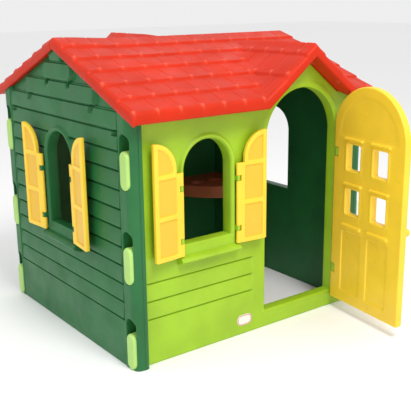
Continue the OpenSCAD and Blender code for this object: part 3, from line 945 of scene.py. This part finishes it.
@dataclass(frozen=True)
class RoofHalf:
    """One half of the roof: a slope, its cross gable, and the deeper boards at its ends.

    Attributes:
        name: Frame node.
        front: True for the half over the door.
        tiles: The shingles' relief.
    """

    name: str
    front: bool
    tiles: Shingles = Shingles()

    @property
    def gable_x(self) -> float:
        """Middle of the cross gable, from the left wall."""
        return H.door_x if self.front else H.width / 2

    @property
    def gable_z(self) -> float:
        """Ridge height of the cross gable."""
        return H.front_gable if self.front else H.back_gable

    @property
    def eave_z(self) -> float:
        """Height of the eave."""
        return H.ridge - H.fall * (H.mid + H.eave_out)

    @property
    def reach(self) -> float:
        """Half width of the cross gable at the eave's height."""
        return (self.gable_z - self.eave_z) / H.gable_fall

    def run(self, y: Array) -> Array:
        """Plan distance up from this half's eave."""
        return y + H.eave_out if self.front else H.depth + H.eave_out - y

    def top(self, x: Array, y: Array) -> Array:
        """Height of the upper surface: the higher of the slope and the cross gable."""
        run = np.clip(self.run(y), 0.0, H.mid + H.eave_out)
        main = self.eave_z + H.fall * run + self.tiles.relief(run, x) - 0.0030
        away = np.abs(x - self.gable_x)
        side = self.eave_z + H.gable_fall * (self.reach - away)
        cross = side + self.tiles.relief(self.reach - away, self.run(y), GABLE_SHIFT) * 1.1 - 0.0040
        cap = 0.004 * np.exp(-(away / 0.016) ** 2)
        z = np.maximum(main, np.where(away < self.reach + 0.02, cross + cap, -1.0))
        sag = 0.012 * smooth(x / 0.30) * smooth((run - 0.30) / 0.29)
        return z - sag - self.turn(x, run, 0.019)

    def turn(self, x: Array, run: Array, radius: float) -> Array:
        """Drop of a quarter-round edge: radius less the root of radius^2 - (radius - distance)^2."""
        edge = np.minimum(np.minimum(x + H.rake_out, H.width + H.rake_out - x), run)
        inward = np.clip(radius - edge, 0.0, radius - 1e-4)
        return radius - np.sqrt(radius ** 2 - inward ** 2)

    def tone(self, x: Array, y: Array) -> Array:
        """Painted highlight on the knobs: a share of the paler coral second colour, standing in for the glints they
        catch.
        """
        run = self.run(y)
        inward = self.reach - np.abs(x - self.gable_x)
        cross = H.gable_fall * inward > H.fall * run
        return 0.55 * np.where(cross, self.tiles.knobs(inward, run, GABLE_SHIFT), self.tiles.knobs(run, x))

    def under(self, x: Array, y: Array) -> Array:
        """Height of the lower surface."""
        run = np.clip(self.run(y), 0.0, H.mid + H.eave_out)
        ends = smooth((np.maximum(-x, x - H.width) - 0.0005) / 0.001)
        main = self.eave_z + H.fall * run - H.roof_t - 0.006 * ends
        away = np.abs(x - self.gable_x)
        low = np.maximum(main, self.gable_z - H.gable_t - H.gable_fall * away)
        return low + 0.7 * self.turn(x, run, 0.012)

    def build(self, place: Matrix) -> None:
        """Meshes the half and its joining flange under the ridge."""
        low, high = (-H.eave_out, H.mid + 0.007) if self.front else (H.mid, H.depth + H.eave_out)
        steps = [self.tiles.course * k + d for k in range(7)
                 for d in (-0.002, 0.0, 0.002, 0.004, 0.007, 0.010, 0.014, 0.019)]
        marks_y = [-H.eave_out + r if self.front else H.depth + H.eave_out - r for r in steps]
        marks_x = [self.gable_x + s * (self.reach - r) for s in (-1, 1) for r in steps if self.reach > r]
        marks_x += [self.gable_x, -0.0005, 0.0005, H.width - 0.0005, H.width + 0.0005]
        marks_x += [k * 0.048 + d for k in range(26) for d in (-0.006, -0.003, 0.0, 0.003, 0.006)]
        marks_x += [x for e in (-0.0085, -0.005, -0.001, 0.003, 0.007) for x in (e, H.width - e)]
        shell = Shell()
        shell.plate(place, box_field((-H.rake_out, low), (H.width + H.rake_out, high), 0.009),
                    grid_lines(-H.rake_out - 0.001, H.width + H.rake_out + 0.001, 0.0075, [], marks_x),
                    grid_lines(low - 0.001, high + 0.001, 0.0075, [], marks_y),
                    self.top, self.under, 0.0055, 4, tone=self.tone)
        start = H.side_t + 0.014
        flange = (0, H.mid if self.front else H.mid + 0.007, H.ridge - H.roof_t - 0.046)
        shell.plate(place @ axes(flange, X, Z, -Y),
                    box_field((start, 0.0), (H.width - start, 0.060), 0.010),
                    grid_lines(start, H.width - start, 0.02, [(start, start + 0.012, 0.003)]),
                    grid_lines(0, 0.060, 0.004), level(0.007), level(0.0), 0.0015, 2)
        shell.build(f"{self.name}_shell", RED, self.name)


# ---------------------------------------------------------------- shutters and door


@dataclass(frozen=True)
class Shutter:
    """A panelled shutter with a quarter-round head.

    Attributes:
        name: Frame node, also the start of its body's name.
        place: Window coordinates (along, up, out) to frame coordinates.
        side: -1 left of the window, 1 right of it.
    """

    name: str
    place: Matrix
    side: int
    width: float = 0.129
    thick: float = 0.017
    shoulder: float = 0.731
    strip: float = 0.026
    rise: float = 0.018
    rail: float = 0.017
    off: float = 6.0

    def head(self, u: Array, v: Array, inset: float) -> Array:
        """Signed distance to the quarter-round head, drawn in from its arc."""
        rise = np.maximum(v - self.shoulder - self.rise, 0.0)
        return np.hypot(u - self.width, rise) - (self.width - self.strip - inset)

    def outline(self, u: Array, v: Array) -> Array:
        """Signed distance to the leaf, with notches for the lugs."""
        leaf = box_sd(u, v, (0.0, H.shutter_low), (self.width, self.shoulder))
        head = np.maximum(self.head(u, v, 0.0), np.maximum(u - self.width, self.shoulder - 0.02 - v))
        d = np.minimum(leaf, head)
        for z in H.shutter_lugs:
            d = np.maximum(d, -box_sd(u, v, (-0.03, z - 0.001), (0.0112, z + 0.021), 0.001))
        return d

    def panel(self, u: Array, v: Array) -> Array:
        """How deep the three panels are sunk."""
        low, split = H.shutter_low + self.rail, self.shoulder - self.rail * 0.7
        middle = (low + split) / 2
        u0, u1 = 0.010 + self.rail, self.width - self.rail
        lower = box_sd(u, v, (u0, low), (u1, middle - self.rail / 2), 0.004)
        upper = box_sd(u, v, (u0, middle + self.rail / 2), (u1, split), 0.004)
        head = np.maximum(self.head(u, v, self.rail), np.maximum(u - u1, self.shoulder + self.rail * 0.3 - v))
        d = np.minimum(np.minimum(lower, upper), head)
        return 0.0052 * smooth(-d / 0.0030)

    def tone(self, u: Array, v: Array) -> Array:
        """Painted shade on the sunk panels: a share of the deeper amber second colour, 0.7 at their floor."""
        return 0.7 * smooth((self.panel(u, v) - 0.0015) / 0.003)

    def face(self, u: Array, v: Array) -> Array:
        """Height of each face over the leaf's middle."""
        return self.thick / 2 - self.panel(u, v)

    def build(self) -> None:
        """Meshes the shutter in its open place."""
        u = grid_lines(-0.001, self.width + 0.001, 0.006,
                       [(0.018, 0.034, 0.0025), (self.width - 0.026, self.width, 0.003)])
        v = grid_lines(H.shutter_low - 0.001, 0.854, 0.008,
                       [(0.405, 0.436, 0.003), (0.548, 0.590, 0.003), (0.700, 0.854, 0.0035),
                        *near(H.shutter_lugs, 0.004, 0.025, 0.003)])
        angle = math.radians(180 + self.off if self.side < 0 else -self.off)
        along, out = (math.cos(angle), 0, -math.sin(angle)), (math.sin(angle), 0, math.cos(angle))
        leaf = self.place @ axes((self.side * H.shutter_hinge, 0, H.shutter_axis), along, Y, out)
        shell = Shell()
        shell.plate(leaf, self.outline, u, v, self.face, lambda u, v: -self.face(u, v), 0.0035, tone=self.tone)
        upright = Matrix(((1, 0, 0, 0), (0, 0, 1, 0), (0, -1, 0, 0), (0, 0, 0, 1)))
        stops = [H.shutter_low, *(e for z in H.shutter_lugs for e in (z - 0.001, z + 0.021)), self.shoulder]
        for low, high in zip(stops[::2], stops[1::2]):
            shell.add(*rounded_bar(self.thick / 2, low, high, 0.002), leaf @ upright)
        shell.build(f"{self.name}_leaf", YELLOW, self.name, f"{self.name}_body")


@dataclass(frozen=True)
class Door:
    """The arched door with four panes, in its open place."""

    thick: float = 0.030
    low: float = 0.050
    half: float = 0.216
    mid: float = 0.197
    spring: float = 0.780
    pane_w: float = 0.082
    pane_h: float = 0.110
    pane_step: float = 0.160
    pane_rows: tuple[float, ...] = (0.452, 0.642)
    opened: float = 83.0

    @property
    def columns(self) -> tuple[float, float]:
        """Middles of the two columns of panes."""
        return self.mid - self.pane_step / 2, self.mid + self.pane_step / 2

    def pane(self, u: Array, v: Array, mid: float, low: float) -> Array:
        """Signed distance to one pane."""
        return box_sd(u, v, (mid - self.pane_w / 2, low), (mid + self.pane_w / 2, low + self.pane_h), 0.007)

    def outline(self, u: Array, v: Array) -> Array:
        """Signed distance to the leaf with its panes and lug notches."""
        d = arch_sd(u, v, self.mid, self.half, self.low, self.spring)
        d = np.maximum(d, -0.015 - u)
        for mid in self.columns:
            for z in self.pane_rows:
                d = np.maximum(d, -self.pane(u, v, mid, z))
        for z in H.door_lugs:
            d = np.maximum(d, -box_sd(u, v, (-0.04, z - 0.001), (0.016, z + 0.037), 0.002))
        return d

    def relief(self, u: Array, v: Array) -> Array:
        """Brows over the panes, the rail under them, two lower panels and an arched head panel."""
        raised, sunk = np.zeros_like(u), np.zeros_like(u)
        for mid in self.columns:
            for z in self.pane_rows:
                raised = np.maximum(raised, 0.0018 * smooth((0.014 - self.pane(u, v, mid, z)) / 0.004))
                high = z + self.pane_h
                brow = box_sd(u, v, (mid - 0.058, high + 0.013), (mid + 0.058, high + 0.028), 0.004)
                raised = np.maximum(raised, 0.0085 * smooth(-brow / 0.004))
            rail = box_sd(u, v, (mid - 0.062, 0.390), (mid + 0.062, 0.410), 0.006)
            raised = np.maximum(raised, 0.009 * smooth(-rail / 0.005))
            panel = box_sd(u, v, (mid - 0.062, 0.100), (mid + 0.062, 0.376), 0.010)
            sunk = np.maximum(sunk, 0.0045 * smooth(-panel / 0.006))
        head = arch_sd(u, v, self.mid, self.half - 0.040, 0.812, self.spring)
        return raised - sunk - 0.0016 * smooth(-head / 0.010)

    def face(self, u: Array, v: Array) -> Array:
        """Height of each face over the leaf's middle, round at the hinge edge."""
        half = self.thick / 2
        back = np.clip(-u, 0.0, half - 1e-4)
        return np.sqrt(half ** 2 - back ** 2) + np.where(u > 0.02, self.relief(u, v), 0.0)

    def build(self, site: Matrix) -> None:
        """Meshes the leaf and its knob."""
        sides = [m + s * self.pane_w / 2 for m in self.columns for s in (-1, 1)]
        heads = [z + self.pane_h for z in self.pane_rows]
        ends = [e for z in self.pane_rows for e in (z, z + self.pane_h)]
        u = grid_lines(-0.016, 0.414, 0.008, [*near(sides, 0.020, 0.020, 0.004),
                                              (-0.016, 0.020, 0.003), (0.380, 0.414, 0.004)])
        v = grid_lines(self.low - 0.001, 0.997, 0.010, [
            (0.100, 0.125, 0.004), (0.360, 0.415, 0.0035), *near(ends, 0.012, 0.012, 0.004),
            *near(heads, -0.010, 0.031, 0.0035), (0.795, 0.997, 0.005)])
        angle = math.radians(180 + self.opened)
        leaf = site @ axes((H.door_hinge, -H.door_axis, 0), (math.cos(angle), math.sin(angle), 0),
                           Z, (math.sin(angle), -math.cos(angle), 0))
        shell = Shell()
        shell.plate(leaf, self.outline, u, v, self.face, lambda a, b: -self.face(a, b), 0.0055, 5)
        shell.build("door_leaf_panel", YELLOW, "door_leaf", "door")
        bend = np.linspace(-0.9, math.pi / 2 - 0.12, 14)
        ball = [(0.017 * math.cos(a), 0.018 + 0.017 * math.sin(a)) for a in bend]
        foot = [(0.014, 0.0003), (0.0140, 0.002), (0.0125, 0.0032), (0.0098, 0.004)]
        knob = Shell()
        knob.add(*lathe(foot + ball, 48),
                 leaf @ axes((0.387, 0.440, -self.thick / 2), X, -Y, -Z))
        knob.build("door_knob_turned", YELLOW, "door_knob", "door")


# ---------------------------------------------------------------- counter and badge


@dataclass(frozen=True)
class Counter:
    """The quarter-round corner counter with its two bowls."""

    radius: float = 0.340
    top: float = 0.433
    thick: float = 0.062
    bowls: tuple[tuple[float, float, float], ...] = ((0.218, 0.147, 0.034), (0.121, 0.158, 0.014))

    def outline(self, a: Array, b: Array) -> Array:
        """Signed distance to the quarter disc, a and b measured from the two walls."""
        return np.maximum(np.hypot(a, b) - self.radius, np.maximum(-a, -b))

    def face(self, a: Array, b: Array) -> Array:
        """Height of the top: a low rim, a lip along the walls and the bowls."""
        d = -self.outline(a, b)
        height = -0.003 * smooth((d - 0.010) / 0.008)
        for x, y, deep in self.bowls:
            r = np.hypot(a - x, b - y)
            height = height + 0.002 * smooth((0.050 - r) / 0.005)
            height = height - (deep + 0.001) * smooth((0.0425 - r) / 0.012)
        return height

    def build(self, site: Matrix) -> None:
        """Meshes the counter with its flanges."""
        first, second = (grid_lines(-0.001, self.radius + 0.001, 0.008, [
            *near([bowl[k] for bowl in self.bowls], 0.052, 0.052, 0.003), (0.0, 0.02, 0.004)]) for k in (0, 1))
        corner = (H.width - H.side_t - H.gap, H.depth - H.front_t - H.gap, self.top)
        place = site @ axes(corner, -X, -Y, Z)
        shell = Shell()
        shell.plate(place, self.outline, first, second, self.face, level(-self.thick), 0.007, 5)
        for along, out in ((X, Y), (Y, X)):
            shell.plate(place @ axes((0, 0, -self.thick), along, Z, out),
                        box_field((0.0, -0.040), (0.310, 0.004), 0.006),
                        grid_lines(-0.001, 0.311, 0.012, [(0.0, 0.01, 0.003), (0.3, 0.311, 0.003)]),
                        grid_lines(-0.041, 0.005, 0.004), level(0.009), level(0.0), 0.002, 3)
        shell.build("corner_counter_top", TERRACOTTA, "corner_counter")


@dataclass(frozen=True)
class Badge:
    """A blank oval badge with a raised rim."""

    width: float = 0.076
    height: float = 0.046

    def outline(self, u: Array, v: Array) -> Array:
        """Signed distance to the oval."""
        half_w, half_h = self.width / 2, self.height / 2
        return box_sd(u, v, (-half_w, -half_h), (half_w, half_h), half_h - 0.001)

    def face(self, u: Array, v: Array) -> Array:
        """Height of the front, sunk 1 mm inside the rim."""
        return 0.0030 - 0.0010 * smooth((-self.outline(u, v) - 0.004) / 0.002)

    def tone(self, u: Array, v: Array) -> Array:
        """Second colour on the rim."""
        d = self.outline(u, v)
        return smooth((d + 0.0055) / 0.001) * smooth((-d - 0.0012) / 0.0006)

    def build(self) -> None:
        """Meshes the badge over its frame node."""
        low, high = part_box("blank_badge")
        mid = (low + high) / 2
        shell = Shell()
        shell.plate(axes((mid.x, high.y, mid.z), X, Z, -Y), self.outline,
                    grid_lines(-self.width / 2, self.width / 2, 0.0025),
                    grid_lines(-self.height / 2, self.height / 2, 0.0025),
                    self.face, level(-0.0002), 0.0010, 3, tone=self.tone)
        shell.build("blank_badge_plate", IVORY, "blank_badge")


# ---------------------------------------------------------------- the whole


@dataclass(frozen=True)
class Playhouse:
    """Builds every piece over the frame.

    Attributes:
        site: House coordinates to frame coordinates.
    """

    frame: dict
    site: Matrix

    def walls(self) -> None:
        """Builds the four walls."""
        for name, x, out in (("left_wall", H.side_t, -1), ("right_wall", H.width - H.side_t, 1)):
            SideWall(name, self.site @ axes((x, 0, 0), Y, Z, out * X)).build()
        front = GableWall("front_wall", H.door_x, H.front_gable, H.door_x - H.door_half - 0.060, True)
        back = GableWall("back_wall", H.width / 2, H.back_gable, H.width - H.post_w - 0.014, False)
        for wall, y, out in ((front, H.front_t, -1), (back, H.depth - H.front_t, 1)):
            wall.build(self.site @ axes((0, y, 0), X, Z, out * Y))

    def openings(self) -> None:
        """Builds the six shutters and the door."""
        front = self.site @ axes((H.window_x, 0, 0), X, Z, -Y)
        left = self.site @ axes((0, H.mid, 0), -Y, Z, -X)
        right = self.site @ axes((H.width, H.mid, 0), Y, Z, X)
        for name, place, side in (("front_shutter_left", front, -1), ("front_shutter_right", front, 1),
                                  ("left_shutter_front", left, 1), ("left_shutter_back", left, -1),
                                  ("right_shutter_front", right, -1), ("right_shutter_back", right, 1)):
            Shutter(name, place, side).build()
        Door().build(self.site)

    def fittings(self) -> None:
        """Builds the counter and the badge, and gives the carried-over metal its finish."""
        Counter().build(self.site)
        Badge().build()
        slots = {s["node"]: s["material_slot"] for s in self.frame["record"]["subparts"]}
        for name, obj in self.frame["nodes"].items():
            if obj.hide_render:
                continue
            obj.data.materials.clear()
            obj.data.materials.append(STEEL.material())

    def build(self) -> None:
        """Builds everything."""
        self.walls()
        RoofHalf("roof_front", True).build(self.site)
        RoofHalf("roof_back", False).build(self.site)
        self.openings()
        self.fittings()


@dataclass(frozen=True)
class Studio:
    """Floor, light and camera.

    Attributes:
        eye: Where the camera stands.
        yaw: Its turn from +Y towards +X, in degrees.
        pitch: How far it looks down.
        tilt: How far it rolls.
        lens: Focal length, in millimetres.
        sky: Strength of the white surround.
    """

    eye: tuple[float, float, float] = (-2.157, -2.258, 1.341)
    yaw: float = 36.64
    pitch: float = 15.25
    tilt: float = -0.68
    lens: float = 66.57
    sky: float = 0.86

    def floor(self) -> None:
        """A wide pale floor with a faint unevenness."""
        mesh = bpy.data.meshes.new("studio_floor")
        mesh.from_pydata([(-30, -30, 0), (30, -30, 0), (30, 30, 0), (-30, 30, 0)], [], [[0, 1, 2, 3]])
        obj = bpy.data.objects.new("studio_floor", mesh)
        bpy.context.scene.collection.objects.link(obj)
        mat = bpy.data.materials.new("pale_floor")
        mat.use_nodes = True
        shader = mat.node_tree.nodes["Principled BSDF"]
        noise = mat.node_tree.nodes.new("ShaderNodeTexNoise")
        ramp = mat.node_tree.nodes.new("ShaderNodeMapRange")
        ramp.inputs["To Min"].default_value, ramp.inputs["To Max"].default_value = 0.93, 0.96
        noise.inputs["Scale"].default_value = 3.0
        mat.node_tree.links.new(noise.outputs["Fac"], ramp.inputs["Value"])
        mat.node_tree.links.new(ramp.outputs["Result"], shader.inputs["Base Color"])
        shader.inputs["Roughness"].default_value = 0.8
        mesh.materials.append(mat)

    def light(self, name: str, place: Sequence[float], aim: Sequence[float], size: float, power: float) -> None:
        """Adds one soft area light.

        Args:
            name: Light name.
            place: Where it hangs.
            aim: What it points at.
            size: Its width.
            power: Watts.
        """
        data = bpy.data.lights.new(name, "AREA")
        data.energy, data.size = power, size
        obj = bpy.data.objects.new(name, data)
        obj.location = place
        obj.rotation_euler = (Vector(aim) - Vector(place)).to_track_quat("-Z", "Y").to_euler()
        bpy.context.scene.collection.objects.link(obj)

    def camera(self) -> None:
        """The viewing camera."""
        data = bpy.data.cameras.new("view")
        data.lens, data.sensor_width = self.lens, 36.0
        obj = bpy.data.objects.new("view", data)
        yaw, pitch, tilt = (math.radians(a) for a in (self.yaw, self.pitch, self.tilt))
        look = Vector((math.sin(yaw) * math.cos(pitch), math.cos(yaw) * math.cos(pitch), -math.sin(pitch)))
        right = Vector((math.cos(yaw), -math.sin(yaw), 0.0))
        up = right.cross(look)
        right, up = math.cos(tilt) * right + math.sin(tilt) * up, -math.sin(tilt) * right + math.cos(tilt) * up
        obj.matrix_world = axes(self.eye, right, up, -look)
        bpy.context.scene.collection.objects.link(obj)
        bpy.context.scene.camera = obj

    def build(self) -> None:
        """Builds the studio."""
        world = bpy.data.worlds.new("soft_sky")
        world.use_nodes = True
        sky = world.node_tree.nodes["Background"].inputs
        sky["Color"].default_value, sky["Strength"].default_value = (1.0, 1.0, 1.0, 1.0), self.sky
        bpy.context.scene.world = world
        bpy.context.scene.view_settings.view_transform = "Standard"
        self.floor()
        self.light("key", (-0.7, -2.7, 4.4), (0.0, 0.2, 0.4), 1.6, 150.0)
        self.light("fill", (-4.2, -0.6, 2.4), (-0.6, 0.4, 0.5), 2.4, 22.0)
        self.camera()


def main() -> None:
    """Builds the scene."""
    logging.basicConfig(level=logging.INFO, format="%(name)s %(message)s")
    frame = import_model()
    Playhouse(frame, find_site()).build()
    Studio().build()
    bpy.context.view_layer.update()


if __name__ == "__main__":
    main()
